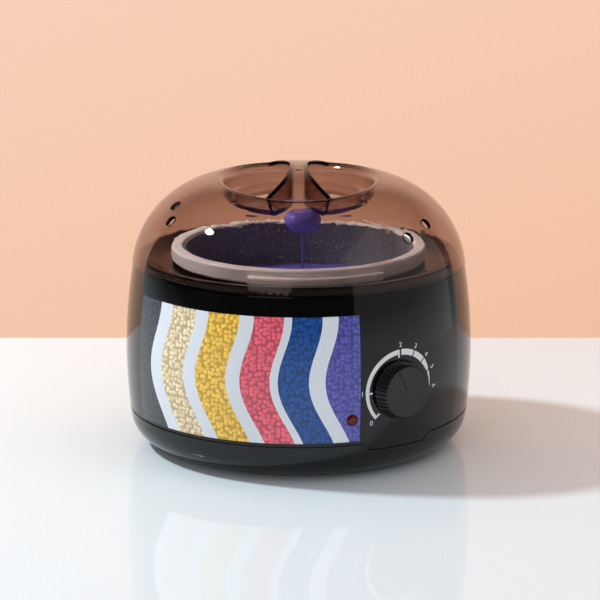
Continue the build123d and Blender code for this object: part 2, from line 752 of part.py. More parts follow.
# ---- pot, collar and wax ----
def pot_face(radius, bottom, top, corner):
    """Half section of a round cup's filling: straight side and rounded lower corner."""
    face = make_face(Polyline((0, bottom), (radius, bottom), (radius, top), (0, top), close=True))
    low = [v for v in face.vertices() if abs(v.X - radius) < 0.01 and abs(v.Y - bottom) < 0.01]
    return fillet(low, corner)


def wax_pot():
    top = collar_top - pot_lip_drop
    outer = pot_face(pot_radius + pot_wall, pot_bottom_height, top, pot_corner)
    inner = pot_face(pot_radius - pot_shoulder, pot_bottom_height + pot_wall, top + 1, pot_corner - pot_wall)
    pot = revolve(Plane.XZ * outer, Axis.Z, 360) - revolve(Plane.XZ * inner, Axis.Z, 360)
    pot -= Pos(0, 0, pot_fill_line) * rod(pot_radius, top - pot_fill_line + 1)
    return pot + pot_flange()


def pot_flange():
    low = pot_flange_height - pot_wall
    middle = pot_radius + pot_wall / 2
    return ring((middle, low), (pot_flange_radius, low), (pot_flange_radius, pot_flange_height),
                (middle, pot_flange_height))


def pot_collar():
    outline = FilletPolyline((collar_inner, collar_bottom), (collar_outer, collar_bottom),
                             (collar_outer, collar_top), (collar_inner, collar_top),
                             radius=[collar_round] * 4, close=True)
    collar = turned(outline)
    grip_outline = FilletPolyline((collar_outer - 2, collar_bottom),
                                  (collar_outer + grip_reach, collar_bottom),
                                  (collar_outer + grip_reach, collar_bottom + grip_height),
                                  (collar_outer - 2, collar_bottom + grip_height),
                                  radius=[0.3, collar_round, collar_round, 0.3], close=True)
    for middle in (grip_azimuth, grip_azimuth + 180):
        collar += sector(grip_outline, middle, grip_span)
    return collar - pot_flange()


def wax_charge():
    face = pot_face(pot_radius - pot_shoulder - wax_gap, pot_bottom_height + pot_wall, wax_height,
                    pot_corner - pot_wall)
    return revolve(Plane.XZ * face, Axis.Z, 360)


# ---- lid ----
def dome(inset):
    """The lid's dome without its pockets, moved in by inset, filled down to its rim."""
    radius = lid_side_radius - inset
    start = -asin((lid_arc_z - lid_bottom) / radius)
    middle = (start + radians(90)) / 2
    arc = ThreePointArc((lid_arc_r + radius * cos(start), lid_bottom),
                        (lid_arc_r + radius * cos(middle), lid_arc_z + radius * sin(middle)),
                        (lid_arc_r, lid_arc_z + radius))
    return turned(arc + Polyline((lid_arc_r, lid_arc_z + radius), (0, lid_arc_z + radius), (0, lid_bottom),
                                 (lid_arc_r + radius * cos(start), lid_bottom)))


def pocket(growth):
    """The finger well: an oval floor with a steep wall that widens upwards."""
    floor = Ellipse(pocket_floor_x + growth, pocket_floor_y + growth)
    floor = Pos(0, 0, pocket_floor_height - growth) * floor
    rise = (pocket_mouth_height - pocket_floor_height + growth) / (pocket_mouth_height - pocket_floor_height)
    mouth_x = pocket_floor_x + (pocket_mouth_x - pocket_floor_x) * rise
    mouth_y = pocket_floor_y + (pocket_mouth_y - pocket_floor_y) * rise
    mouth = Pos(0, 0, pocket_mouth_height) * Ellipse(mouth_x + growth / 2, mouth_y + growth / 2)
    return loft([floor, mouth], ruled=True)


def bridge(inset):
    """The handle: an hourglass rib between the two pockets under a shallow crown."""
    half_waist = bridge_half_waist - inset
    length = bridge_half_length
    flare = half_waist + bridge_flare_radius - sqrt(bridge_flare_radius ** 2 - length ** 2)
    outline = (ThreePointArc((flare, -length), (half_waist, 0), (flare, length))
               + Line((flare, length), (-flare, length))
               + ThreePointArc((-flare, length), (-half_waist, 0), (-flare, -length))
               + Line((-flare, -length), (flare, -length)))
    bar = Pos(0, 0, pocket_floor_height - 6) * extrude(make_face(outline), 40)
    rim_height = lid_arc_z + sqrt(lid_side_radius ** 2 - (bridge_tip_radius - lid_arc_r) ** 2)
    sag = bridge_apex_height - rim_height
    crown = (bridge_tip_radius ** 2 + sag ** 2) / (2 * sag)
    ball = Pos(0, 0, bridge_apex_height - crown) * Sphere(crown - inset)
    return bar & ball


def lid_solid(inset):
    """The lid as a filled shape, moved in by inset all round."""
    body = dome(inset) - pocket(inset)
    rim = [edge for edge in body.edges().filter_by(GeomType.BSPLINE) if edge.length > pocket_floor_x]
    body = fillet(rim, pocket_rim_round - inset)
    floor = body.edges().filter_by(GeomType.ELLIPSE).sort_by(Axis.Z)[0]
    body = fillet(floor, pocket_floor_round + inset)
    return body + (bridge(inset) & dome_column(inset))


def dome_column(inset):
    """Keeps the handle inside the lid's own outline."""
    return Pos(0, 0, pocket_floor_height - 3 - inset) * rod(bridge_tip_radius + 1 - inset, 40)


def lid_shell():
    lid = lid_solid(0) - lid_solid(lid_wall)
    for azimuth, height in vent_places:
        radius = lid_arc_r + sqrt(lid_side_radius ** 2 - (height - lid_arc_z) ** 2)
        tilt = degrees(asin((height - lid_arc_z) / lid_side_radius))
        hole = at(azimuth, radius, height) * Rot(0, 0, azimuth) * Rot(90 - tilt, 0, 0)
        lid -= hole * Cylinder(vent_radius, 12)
    lid -= Pos(0, bridge_slot_y, bridge_apex_height) * Box(*bridge_slot, 12)
    return lid


def wax_drip():
    top = pocket_floor_height - lid_wall
    bottom = wax_height + lid_gap
    taper_radius, taper_drop = drip_taper
    teardrop = Spline((drip_radius * drip_root, top), (drip_radius, top - drip_length * drip_widest),
                      (drip_radius * taper_radius, top - drip_length * taper_drop),
                      (thread_radius, top - drip_length), tangents=((1, -1), (0, -1)))
    outline = (Line((0, top), (drip_radius * drip_root, top)) + teardrop
               + Polyline((thread_radius, top - drip_length), (thread_radius, bottom), (0, bottom),
                          (0, top)))
    return Pos(*drip_place, 0) * turned(outline)


# ---- write every piece ----
pieces = {
    "base_cup": base_cup(), "body_shell": body_shell(), "label": label(),
    "heating_well": heating_well(), "heat_shield": heat_shield(), "band_heater": band_heater(),
    "clamp_band": clamp_band(), "clamp_screw": clamp_screw(),
    "thermal_fuse": thermal_fuse(), "sensing_bulb": sensing_bulb(),
    "fuse_clip": Pos(*fuse_place, well_bottom) * saddle_clip(fuse_radius, clip_width),
    "bulb_clip": Pos(*bulb_place, well_bottom) * saddle_clip(bulb_radius, clip_width),
    "thermostat_body": thermostat_body(), "thermostat_nut": thermostat_nut(),
    "thermostat_shaft": thermostat_shaft(), "control_knob": control_knob(), "knob_spring": knob_spring(),
    "pilot_lens": pilot_lens(), "pilot_lamp": pilot_lamp(),
    "terminal_block": terminal_block(), "lead_live": lead_live(), "lead_heater": lead_heater(),
    "lead_neutral": lead_neutral(), "lead_fuse": lead_fuse(), "lamp_lead": lamp_lead(),
    "cord_gland": cord_gland(), "cord_clamp": cord_clamp(),
    "wax_pot": wax_pot(), "pot_collar": pot_collar(), "wax_charge": wax_charge(),
    "lid_shell": lid_shell(), "wax_drip": wax_drip(),
}
for index in range(4):
    pieces[f"rubber_foot_{index + 1}"] = rubber_foot(index)
for name, screws in (("well_screws", well_screws()), ("cord_clamp_screws", cord_clamp_screws()),
                     ("housing_screws", housing_screws())):
    pieces[name] = Compound(children=screws)
for name, piece in pieces.items():
    save(piece, name)
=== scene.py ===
# %% [markdown]
# # Dressing a hard wax heater
# The frame brings every part of the heater as a plain solid in metres, with
# the table at z = 0 and the label facing -Y. This lesson gives each part its
# finish, prints the dial on the body, decorates the label, and lights the
# heater like a product on a white table.

# %% Load the frame
import json

import bpy
import numpy as np
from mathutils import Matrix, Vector


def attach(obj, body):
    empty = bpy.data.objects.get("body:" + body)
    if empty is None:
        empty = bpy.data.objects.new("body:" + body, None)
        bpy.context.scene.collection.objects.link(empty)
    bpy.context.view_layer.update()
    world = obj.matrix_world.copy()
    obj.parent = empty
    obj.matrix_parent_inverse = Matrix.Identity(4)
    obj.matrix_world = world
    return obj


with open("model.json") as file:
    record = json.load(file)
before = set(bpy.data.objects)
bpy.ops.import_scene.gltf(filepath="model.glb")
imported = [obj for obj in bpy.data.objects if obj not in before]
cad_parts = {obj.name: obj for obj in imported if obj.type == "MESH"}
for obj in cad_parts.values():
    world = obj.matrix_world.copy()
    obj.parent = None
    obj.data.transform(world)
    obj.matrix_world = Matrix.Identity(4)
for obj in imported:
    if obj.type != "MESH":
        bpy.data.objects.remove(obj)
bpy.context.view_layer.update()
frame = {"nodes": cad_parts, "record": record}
nodes = frame["nodes"]

# %% [markdown]
# ## Camera
# A product like this is usually shot from well back with a long lens, which
# keeps the round body from bulging. The camera looks along +Y and a little
# down, from 1.6 m away.

# %% Camera
camera_back = 1.6
camera_height = 0.466
camera_pitch = np.radians(13.77)
sensor_width, focal_length = 36.0, 190.56    # millimetres
sideways_shift = 0.0022    # share of the frame's width
lens_data = bpy.data.cameras.new("camera")
lens_data.sensor_width = sensor_width
lens_data.lens = focal_length
lens_data.shift_x = sideways_shift
camera = bpy.data.objects.new("camera", lens_data)
camera.location = (0.0, -camera_back, camera_height)
camera.rotation_euler = (np.pi / 2 - camera_pitch, 0.0, 0.0)
bpy.context.scene.collection.objects.link(camera)
bpy.context.scene.camera = camera
bpy.context.scene.view_settings.view_transform = "Standard"

# %% [markdown]
# ## Small helpers
# A surface here is a grid of points worked out as a whole array. The faces
# are index arithmetic on the same grid.

# %% Grid surfaces
def grid_faces(rows, columns):
    """Quads of a rows x columns grid: each joins a point, its right neighbour and the two above."""
    row, column = np.meshgrid(np.arange(rows - 1), np.arange(columns - 1), indexing="ij")
    corner = row * columns + column
    return np.stack((corner, corner + 1, corner + columns + 1, corner + columns), axis=-1).reshape(-1, 4)


def add_mesh(name, points, faces, body, finish, smooth=True):
    """Put points and faces into a mesh at the origin that rides on a body and takes a finish."""
    mesh = bpy.data.meshes.new(name)
    corners = np.asarray(points).reshape(-1, 3).tolist()
    mesh.from_pydata(corners, [], [list(map(int, face)) for face in faces])
    mesh.validate()
    mesh.polygons.foreach_set("use_smooth", np.full(len(mesh.polygons), smooth))
    thing = bpy.data.objects.new(name, mesh)
    bpy.context.scene.collection.objects.link(thing)
    mesh.materials.append(finishes[finish])
    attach(thing, body)


# %% Shader helpers
def new_material(name):
    """A new material with nodes; it returns the material, its tree and its Principled shader."""
    material = bpy.data.materials.new(name)
    material.use_nodes = True
    tree = material.node_tree
    principled = tree.nodes["Principled BSDF"]
    return material, tree, principled


def add_node(tree, kind, **settings):
    """A node of that kind, with its plain settings and its input values given by name."""
    node = tree.nodes.new(kind)
    inputs = settings.pop("inputs", {})
    for key, value in settings.items():
        setattr(node, key, value)
    for key, value in inputs.items():
        if isinstance(value, bpy.types.NodeSocket):
            tree.links.new(value, node.inputs[key])
        else:
            node.inputs[key].default_value = value
    return node


def math(tree, operation, first, second=0.0, third=0.0, clamp=False):
    """One Math node; each input is a number or a socket. It returns the result's socket."""
    node = add_node(tree, "ShaderNodeMath", operation=operation, use_clamp=clamp)
    for index, value in enumerate((first, second, third)):
        if isinstance(value, bpy.types.NodeSocket):
            tree.links.new(value, node.inputs[index])
        else:
            node.inputs[index].default_value = value
    return node.outputs[0]


def ramp(tree, factor, *stops, interpolation="LINEAR"):
    """A colour ramp with (place, colour) stops; it returns the colour's socket."""
    node = add_node(tree, "ShaderNodeValToRGB", inputs={"Fac": factor})
    node.color_ramp.interpolation = interpolation
    elements = node.color_ramp.elements
    while len(elements) < len(stops):
        elements.new(0.5)
    for element, (place, colour) in zip(elements, stops):
        element.position = place
        element.color = (*colour, 1.0)
    return node.outputs["Color"]


def cell_chance(tree, cells):
    """The random number, 0 to 1, that a Voronoi node gives each of its cells."""
    split = add_node(tree, "ShaderNodeSeparateColor", inputs={"Color": cells.outputs["Color"]})
    return split.outputs["Red"]


def srgb(red, green, blue):
    """A screen colour, 0 to 255, as the linear values that a shader takes."""
    values = np.array((red, green, blue)) / 255.0
    linear = np.where(values <= 0.04045, values / 12.92, ((values + 0.055) / 1.055) ** 2.4)
    return tuple(float(value) for value in linear)


# %% [markdown]
# ## Effects that several finishes share
# Moulded plastic is never perfectly even: it has a faint ripple from the
# mould and a film of fingerprints that dulls its gloss in soft patches. Both
# are built once as groups and placed in each finish with its own values.

# %% Shared effects
patch_from, patch_to = 0.35, 0.7    # the noise values between which a patch fades in


def effect_group(name, inputs, outputs):
    """An empty shader group with float inputs of given defaults and named outputs."""
    group = bpy.data.node_groups.new(name, "ShaderNodeTree")
    for socket, value in inputs.items():
        item = group.interface.new_socket(socket, in_out="INPUT", socket_type="NodeSocketFloat")
        item.default_value = value
    for socket, kind in outputs.items():
        group.interface.new_socket(socket, in_out="OUTPUT", socket_type=kind)
    entry = group.nodes.new("NodeGroupInput")
    exit_node = group.nodes.new("NodeGroupOutput")
    place = group.nodes.new("ShaderNodeTexCoord").outputs["Object"]
    return group, entry.outputs, exit_node.inputs, place


def soft_patches():
    """Gloss that changes in soft patches: low roughness, raised by Amount where a slow noise is high."""
    group, given, result, place = effect_group(
        "soft_patches", {"Roughness": 0.1, "Amount": 0.05, "Scale": 60.0}, {"Roughness": "NodeSocketFloat"})
    noise = add_node(group, "ShaderNodeTexNoise", inputs={"Vector": place, "Scale": given["Scale"],
                                                          "Detail": 4.0, "Roughness": 0.6})
    spread = add_node(group, "ShaderNodeMapRange",
                      inputs={0: noise.outputs["Fac"], 1: patch_from, 2: patch_to})
    smudge = math(group, "MULTIPLY", spread.outputs[0], given["Amount"])
    group.links.new(math(group, "ADD", smudge, given["Roughness"], clamp=True), result["Roughness"])
    return group


def fine_grain():
    """A height from a fine noise of a given scale, for a Bump node."""
    group, given, result, place = effect_group("fine_grain", {"Scale": 900.0}, {"Height": "NodeSocketFloat"})
    noise = add_node(group, "ShaderNodeTexNoise", inputs={"Vector": place, "Scale": given["Scale"],
                                                          "Detail": 3.0, "Roughness": 0.55})
    group.links.new(noise.outputs["Fac"], result["Height"])
    return group


patches_group = soft_patches()
grain_group = fine_grain()


def use_patches(tree, principled, roughness, amount, scale):
    """Drive a finish's roughness by the soft patches."""
    node = add_node(tree, "ShaderNodeGroup", node_tree=patches_group,
                    inputs={"Roughness": roughness, "Amount": amount, "Scale": scale})
    tree.links.new(node.outputs["Roughness"], principled.inputs["Roughness"])


def use_grain(tree, principled, scale, distance):
    """Raise a finish by the fine grain: distance is the full height in metres."""
    node = add_node(tree, "ShaderNodeGroup", node_tree=grain_group, inputs={"Scale": scale})
    bump = add_node(tree, "ShaderNodeBump", inputs={"Height": node.outputs["Height"], "Distance": distance})
    tree.links.new(bump.outputs["Normal"], principled.inputs["Normal"])


# %% [markdown]
# ## Plain finishes
# Most parts need one well-chosen finish: a base colour, a gloss with soft
# patches and a grain. One function makes them all from a short table, and
# the finishes with a pattern of their own follow in their own cells.

# %% Plain finishes
darkest_at, lightest_at = 0.3, 0.7    # the noise values of the darkest and the lightest tint


def plain_finish(name, colour, roughness, patch=0.05, patch_scale=60.0, grain_scale=900.0,
                 grain_height=0.00001, tint=0.08, metallic=0.0, **sockets):
    """A moulded, cast or drawn material.

    Its colour follows a slow noise, darker and lighter by the share tint. Its roughness rises by
    patch at most, in soft patches, and the grain's height is in metres."""
    material, tree, principled = new_material(name)
    place = add_node(tree, "ShaderNodeTexCoord").outputs["Object"]
    noise = add_node(tree, "ShaderNodeTexNoise",
                     inputs={"Vector": place, "Scale": patch_scale, "Detail": 3.0})
    darker = tuple(value * (1 - tint) for value in colour)
    lighter = tuple(min(1.0, value * (1 + tint)) for value in colour)
    colour_socket = ramp(tree, noise.outputs["Fac"], (darkest_at, darker), (lightest_at, lighter))
    tree.links.new(colour_socket, principled.inputs["Base Color"])
    principled.inputs["Metallic"].default_value = metallic
    for socket, value in sockets.items():
        principled.inputs[socket.replace("_", " ")].default_value = value
    use_patches(tree, principled, roughness, patch, patch_scale)
    use_grain(tree, principled, grain_scale, grain_height)
    return material


plain_looks = {
    "black_shell": dict(colour=srgb(11, 10, 10), roughness=0.04, patch=0.04, patch_scale=45.0,
                        grain_height=0.0000006, IOR=1.46),
    "aluminium": dict(colour=(0.62, 0.62, 0.63), roughness=0.3, patch=0.12, patch_scale=90.0,
                      grain_scale=2600.0, grain_height=0.000006, metallic=1.0),
    "heater_steel": dict(colour=(0.34, 0.3, 0.27), roughness=0.38, patch=0.15, patch_scale=70.0,
                         metallic=1.0),
    "steel": dict(colour=(0.55, 0.55, 0.56), roughness=0.25, patch=0.12, patch_scale=120.0,
                  grain_scale=1800.0, grain_height=0.000004, metallic=1.0),
    "copper": dict(colour=(0.72, 0.36, 0.24), roughness=0.25, patch=0.15, patch_scale=120.0,
                   metallic=1.0),
    "ceramic_body": dict(colour=srgb(232, 228, 214), roughness=0.45, patch=0.1, patch_scale=80.0,
                         grain_scale=1500.0, grain_height=0.00002),
    "brass": dict(colour=(0.7, 0.5, 0.2), roughness=0.28, patch=0.12, patch_scale=120.0,
                  metallic=1.0),
    "white_plastic": dict(colour=srgb(236, 233, 226), roughness=0.35, patch=0.08, patch_scale=70.0),
    "lead_red": dict(colour=srgb(168, 28, 24), roughness=0.4, patch=0.08, patch_scale=150.0),
    "lead_black": dict(colour=srgb(30, 29, 29), roughness=0.42, patch=0.08, patch_scale=150.0),
    "rubber": dict(colour=srgb(34, 33, 33), roughness=0.75, patch=0.1, patch_scale=90.0,
                   grain_scale=1300.0, grain_height=0.00003),
    "knob_black": dict(colour=srgb(27, 25, 25), roughness=0.26, patch=0.08, patch_scale=70.0,
                       grain_scale=2200.0, grain_height=0.000012),
    "collar_grey": dict(colour=srgb(238, 246, 255), roughness=0.34, patch=0.08, patch_scale=60.0,
                        grain_scale=1600.0, grain_height=0.00001, tint=0.03),
    "lamp_glass": dict(colour=(0.9, 0.55, 0.4), roughness=0.08, patch=0.03, patch_scale=90.0,
                       Transmission_Weight=0.8),
    "red_lens": dict(colour=(0.3, 0.004, 0.003), roughness=0.08, patch=0.03, patch_scale=90.0,
                     Transmission_Weight=0.6, IOR=1.49),
    "purple_wax": dict(colour=srgb(116, 112, 222), roughness=0.12, patch=0.08, patch_scale=50.0,
                       Subsurface_Weight=0.3, Subsurface_Scale=0.004),
}
finishes = {name: plain_finish(name, **look) for name, look in plain_looks.items()}
print("plain finishes:", ", ".join(finishes))

# %% [markdown]
# ## Smoked lid
# The lid is one thin wall of clear plastic with a brown smoke in it. A dark
# surface colour could tint it too, but it would be as dark everywhere. Here
# the smoke fills the wall, so the lid deepens where the wall is seen edge on,
# and its faces mirror the room by Fresnel.

# %% Smoked plastic
lid_tint_per_metre = 350.0
lid_passes = (0.52, 0.27, 0.16)    # the nearer to 1, the less of that colour is kept back
lid_index = 1.49


def smoked_plastic():
    """Clear plastic on the surface, and inside it a smoke that thickens with the way through the wall."""
    material, tree, principled = new_material("smoked_lid")
    principled.inputs["Base Color"].default_value = (1.0, 1.0, 1.0, 1.0)
    principled.inputs["Transmission Weight"].default_value = 1.0
    principled.inputs["IOR"].default_value = lid_index
    principled.inputs["Roughness"].default_value = 0.0
    output = tree.nodes["Material Output"]
    path = add_node(tree, "ShaderNodeLightPath")
    clear = add_node(tree, "ShaderNodeBsdfTransparent")
    mix = add_node(tree, "ShaderNodeMixShader", inputs={0: path.outputs["Is Shadow Ray"],
                                                        1: principled.outputs[0], 2: clear.outputs[0]})
    smoke = add_node(tree, "ShaderNodeVolumeAbsorption",
                     inputs={"Color": (*lid_passes, 1.0), "Density": lid_tint_per_metre})
    tree.links.new(mix.outputs[0], output.inputs["Surface"])
    tree.links.new(smoke.outputs[0], output.inputs["Volume"])
    return material


finishes["smoked_lid"] = smoked_plastic()

# %% [markdown]
# ## Pot coating
# The non-stick coating is dark and a little blue. A few of its tiny flakes
# are painted pale as painted glints, where the real flakes catch the light: a
# Voronoi pattern gives every flake a random number, and only the highest ones
# are painted bright.

# %% Pot coating
flakes_per_metre = 2600.0
flake_share = 0.95
# The coating's grey, and the pale of the glints painted on its flakes.
coating_grey, flake_glint_grey = srgb(104, 110, 116), srgb(188, 194, 202)


def pot_coating():
    """Dark Voronoi cells, but painted pale as glints where a cell's random number is above flake_share."""
    material, tree, principled = new_material("pot_coating")
    place = add_node(tree, "ShaderNodeTexCoord").outputs["Object"]
    cells = add_node(tree, "ShaderNodeTexVoronoi", inputs={"Vector": place, "Scale": flakes_per_metre})
    # Painted glints: the flakes above flake_share are painted pale.
    painted_glint = math(tree, "GREATER_THAN", cell_chance(tree, cells), flake_share)
    colour = ramp(tree, painted_glint, (0.0, coating_grey), (1.0, flake_glint_grey))
    tree.links.new(colour, principled.inputs["Base Color"])
    use_patches(tree, principled, roughness=0.3, amount=0.12, scale=90.0)
    use_grain(tree, principled, scale=1400.0, distance=0.00001)
    return material


finishes["pot_coating"] = pot_coating()

# %% [markdown]
# ## Label
# The label is one sleeve of print: wavy ribbons of colour with plain pale ones
# between them. A place on it is an azimuth and a height. The azimuth moves
# sideways in a slow wave with the height, and a constant ramp turns it into a
# colour. The coloured ribbons carry scattered round dots.

# %% Label print
label_from, label_to = np.radians(-64.0), np.radians(20.0)
label_radius = 0.0895
wave_width, wave_turns, wave_start = 0.06, 84.0, 3.6    # radians, radians per metre, radians
ribbon_slant, slant_height = 1.2, 0.054    # radians per metre, and the height where it is zero
dots_per_metre, dots_random = 440.0, 0.75
dot_edge = (0.34, 0.52)    # a dot fades out between these distances from its middle
dot_bright, dot_spread = 0.35, 0.4    # how far every dot rises over the gaps, and a random part more
gap_dark = 0.3    # how far the gaps are darkened
pale = srgb(232, 236, 244)
# Each ribbon is the azimuth in degrees at which it starts, and its ink.
ribbons = ((-64, srgb(58, 61, 68)), (-53, pale), (-47, srgb(232, 210, 170)), (-37, pale),
           (-32, srgb(240, 192, 78)), (-21, pale), (-16, srgb(232, 96, 114)), (-6, pale),
           (-3.5, srgb(18, 74, 146)), (6.5, pale), (11.5, srgb(86, 84, 170)))


def label_print():
    """Ribbons with dots, from the azimuth and the height of a place.

    The azimuth moves by a sine of the height and by a slant. How far along the label it then is
    picks the ribbon's ink. Outside the pale ribbons the ink is scaled by 1 and a shade, which
    Voronoi cells on the unrolled label give: inside a dot it is up, between dots it is down."""
    material, tree, principled = new_material("label_print")
    place = add_node(tree, "ShaderNodeTexCoord").outputs["Object"]
    axes = add_node(tree, "ShaderNodeSeparateXYZ", inputs={"Vector": place}).outputs
    azimuth = math(tree, "ARCTAN2", axes["X"], math(tree, "MULTIPLY", axes["Y"], -1.0))
    height = axes["Z"]
    swing = math(tree, "SINE", math(tree, "MULTIPLY_ADD", height, wave_turns, wave_start))
    lean = math(tree, "MULTIPLY", math(tree, "SUBTRACT", height, slant_height), ribbon_slant)
    moved = math(tree, "ADD", azimuth, math(tree, "MULTIPLY_ADD", swing, wave_width, lean))
    along = math(tree, "DIVIDE", math(tree, "SUBTRACT", moved, label_from), label_to - label_from)
    stops = [((np.radians(start) - label_from) / (label_to - label_from), ink) for start, ink in ribbons]
    colour = ramp(tree, along, *stops, interpolation="CONSTANT")
    dotted_stops = [(start, (float(ink != pale),) * 3) for start, ink in stops]
    dotted = ramp(tree, along, *dotted_stops, interpolation="CONSTANT")
    flat = add_node(tree, "ShaderNodeCombineXYZ",
                    inputs={"X": math(tree, "MULTIPLY", azimuth, label_radius), "Y": height})
    cells = add_node(tree, "ShaderNodeTexVoronoi", voronoi_dimensions="2D",
                     inputs={"Vector": flat.outputs[0], "Scale": dots_per_metre, "Randomness": dots_random})
    inside = add_node(tree, "ShaderNodeMapRange", interpolation_type="SMOOTHSTEP",
                      inputs={0: cells.outputs["Distance"], 1: dot_edge[0], 2: dot_edge[1],
                              3: 1.0, 4: 0.0}).outputs[0]
    bright = math(tree, "MULTIPLY_ADD", cell_chance(tree, cells), dot_spread, dot_bright)
    shade = math(tree, "SUBTRACT", math(tree, "MULTIPLY", inside, bright), gap_dark)
    strength = math(tree, "MULTIPLY_ADD", shade, dotted, 1.0)
    print_colour = add_node(tree, "ShaderNodeVectorMath", operation="SCALE",
                            inputs={0: colour, "Scale": strength}).outputs[0]
    tree.links.new(print_colour, principled.inputs["Base Color"])
    principled.inputs["Coat Weight"].default_value = 0.3
    use_patches(tree, principled, roughness=0.22, amount=0.08, scale=60.0)
    use_grain(tree, principled, scale=700.0, distance=0.000004)
    return material


finishes["label_print"] = label_print()

# %% Give every part its finish
slot_of = {part["node"]: part["material_slot"] for part in frame["record"]["subparts"]}
for name, part in nodes.items():
    part.data.materials.clear()
    part.data.materials.append(finishes[slot_of[name]])
print("parts dressed:", len(nodes))

# %% [markdown]
# ## Dial
# The dial is printed on the round body, about the knob. A thin band runs from
# the first mark to the third, with a hook inwards at the first, the second
# and its end. Three wide steps follow, then a thin tail. An image could carry
# them, but thin meshes keep sharp edges at any size. Every mark is drawn flat,
# in millimetres about the knob's centre, and then laid on the body's side.

# %% Print on the side
finishes["dial_print"] = plain_finish("dial_print", colour=srgb(242, 242, 245), roughness=0.4,
                                      patch=0.1, patch_scale=120.0, tint=0.03)
dial_azimuth, dial_height = np.radians(34.7), 0.0461
widest_radius, widest_height, side_radius = 0.0895, 0.050, 0.268
print_lift = 0.00006
degrees_per_step = 2.0


def on_side(flat_points):
    """Lay flat (across, up) points in millimetres on the body's side, a hair above its surface.

    The side's profile is an arc of side_radius that is widest_radius wide at widest_height, so the
    radius follows from the height. The azimuth is the way across over the widest radius."""
    across, up = np.asarray(flat_points, float).reshape(-1, 2).T / 1000.0
    height = dial_height + up
    radius = widest_radius - side_radius + np.sqrt(side_radius ** 2 - (height - widest_height) ** 2)
    azimuth = dial_azimuth + across / widest_radius
    reach = radius + print_lift
    return np.stack((reach * np.sin(azimuth), -reach * np.cos(azimuth), height), axis=-1)


def arc_mark(name, start, end, inner, outer):
    """A piece of ring from start to end, degrees clockwise from the top.

    inner and outer are each a pair of radii, at its start and at its end."""
    steps = max(3, int((end - start) / degrees_per_step))
    turn = np.radians(np.linspace(start, end, steps))
    radii = np.stack((np.linspace(*inner, steps), np.linspace(*outer, steps)))
    flat_points = np.stack((radii * np.sin(turn), radii * np.cos(turn)), axis=-1)
    add_mesh(name, on_side(flat_points), grid_faces(2, steps), "housing", "dial_print")


mark_turns = (-133.0, -90.0, 0.0, 25.0, 48.0, 69.0, 95.0)    # degrees clockwise from the top
segment_gap = 2.0
band_end = mark_turns[2] - segment_gap
band_inner, band_outer = (18.4, 18.0), (20.0, 20.5)
hook_turns = (mark_turns[0] + 1.5, mark_turns[1], band_end - 1.8)
hook_inner, hook_half = 16.4, 1.6
step_inner, step_outer = 17.6, 20.6
step_tapers = (0.0, 0.0, 0.7)    # only the last step narrows towards its end
tail_inner, tail_outer, tail_short = (18.6, 19.2), (19.8, 19.5), 1.0

arc_mark("dial_band", mark_turns[0], band_end, band_inner, band_outer)
for index, turn in enumerate(hook_turns):
    arc_mark(f"dial_hook_{index + 1}", turn - hook_half, turn + hook_half,
             (hook_inner, hook_inner), (band_inner[0], band_inner[0]))
for index, (start, end, taper) in enumerate(zip(mark_turns[2:5], mark_turns[3:6], step_tapers)):
    arc_mark(f"dial_step_{index + 1}", start + segment_gap / 2, end - segment_gap / 2,
             (step_inner, step_inner + taper), (step_outer, step_outer - taper))
arc_mark("dial_tail", mark_turns[5] + segment_gap / 2, mark_turns[6] - tail_short, tail_inner, tail_outer)
print("dial, degrees from the top:", mark_turns[0], "to", mark_turns[-1])

# %% Numbers
number_size, number_radius = 3.6, 22.8
label_side_number, label_side_radius = 1, 22.0    # the number beside the label stands closer
upright_numbers = (0, 1)    # the others lean with the dial


def number_mark(text, turn, radius, upright):
    """A plain number beside its mark, made a flat mesh and turned about its own middle."""
    curve = bpy.data.curves.new("number", "FONT")
    curve.body, curve.size = text, number_size
    curve.align_x, curve.align_y = "CENTER", "CENTER"
    writing = bpy.data.objects.new("number", curve)
    mesh = bpy.data.meshes.new_from_object(writing)
    corners = np.empty(len(mesh.vertices) * 3)
    mesh.vertices.foreach_get("co", corners)
    corners = corners.reshape(-1, 3)[:, :2]
    turned = 0.0 if upright else -np.radians(turn)
    spin = np.array(((np.cos(turned), np.sin(turned)), (-np.sin(turned), np.cos(turned))))
    centre = radius * np.array((np.sin(np.radians(turn)), np.cos(np.radians(turn))))
    faces = [tuple(face.vertices) for face in mesh.polygons]
    add_mesh(f"dial_number_{text}", on_side(corners @ spin + centre), faces, "housing", "dial_print",
             smooth=False)
    bpy.data.objects.remove(writing)


for index, turn in enumerate(mark_turns):
    radius = label_side_radius if index == label_side_number else number_radius
    number_mark(str(index), turn, radius, upright=index in upright_numbers)

# %% [markdown]
# ## Stage
# The heater stands on a white glossy table in front of a peach wall that
# deepens a little downwards and to the right, a painted shade. A small cool
# key lamp stands left of it, high up. A white board on the right is there to be
# mirrored by the lid and the body, and a weak fill lights the front.

# %% Floor and wall
wall_distance = 0.208
backdrop_half_width = 0.6
backdrop_height = 1.2
table_reach = 4.0
mirrored_half_width = 0.36    # how much of the wall shows in a mirror image
mirrored_height = (0.17, 0.3)    # it fades out between these heights
table_colour, table_gloss = srgb(236, 243, 248), 0.11
# The wall's peach where it is lit, and where its painted shade is deepest.
wall_lit_peach, wall_shaded_peach = srgb(248, 209, 184), srgb(242, 192, 163)
# The painted shade's share: at the middle of the wall's foot, and more per metre right and up.
wall_painted_shade = (0.81, 1.1, -3.1)


def stage_plane(name, corners, material):
    """A single quad of the stage through four corners."""
    mesh = bpy.data.meshes.new(name)
    mesh.from_pydata(corners, [], [(0, 1, 2, 3)])
    thing = bpy.data.objects.new(name, mesh)
    mesh.materials.append(material)
    bpy.context.scene.collection.objects.link(thing)
    return thing


def table_material():
    """White and smooth, with a weak mirror."""
    material, _, principled = new_material("table_top")
    principled.inputs["Base Color"].default_value = (*table_colour, 1.0)
    principled.inputs["Roughness"].default_value = 0.04
    principled.inputs["Specular IOR Level"].default_value = table_gloss
    return material


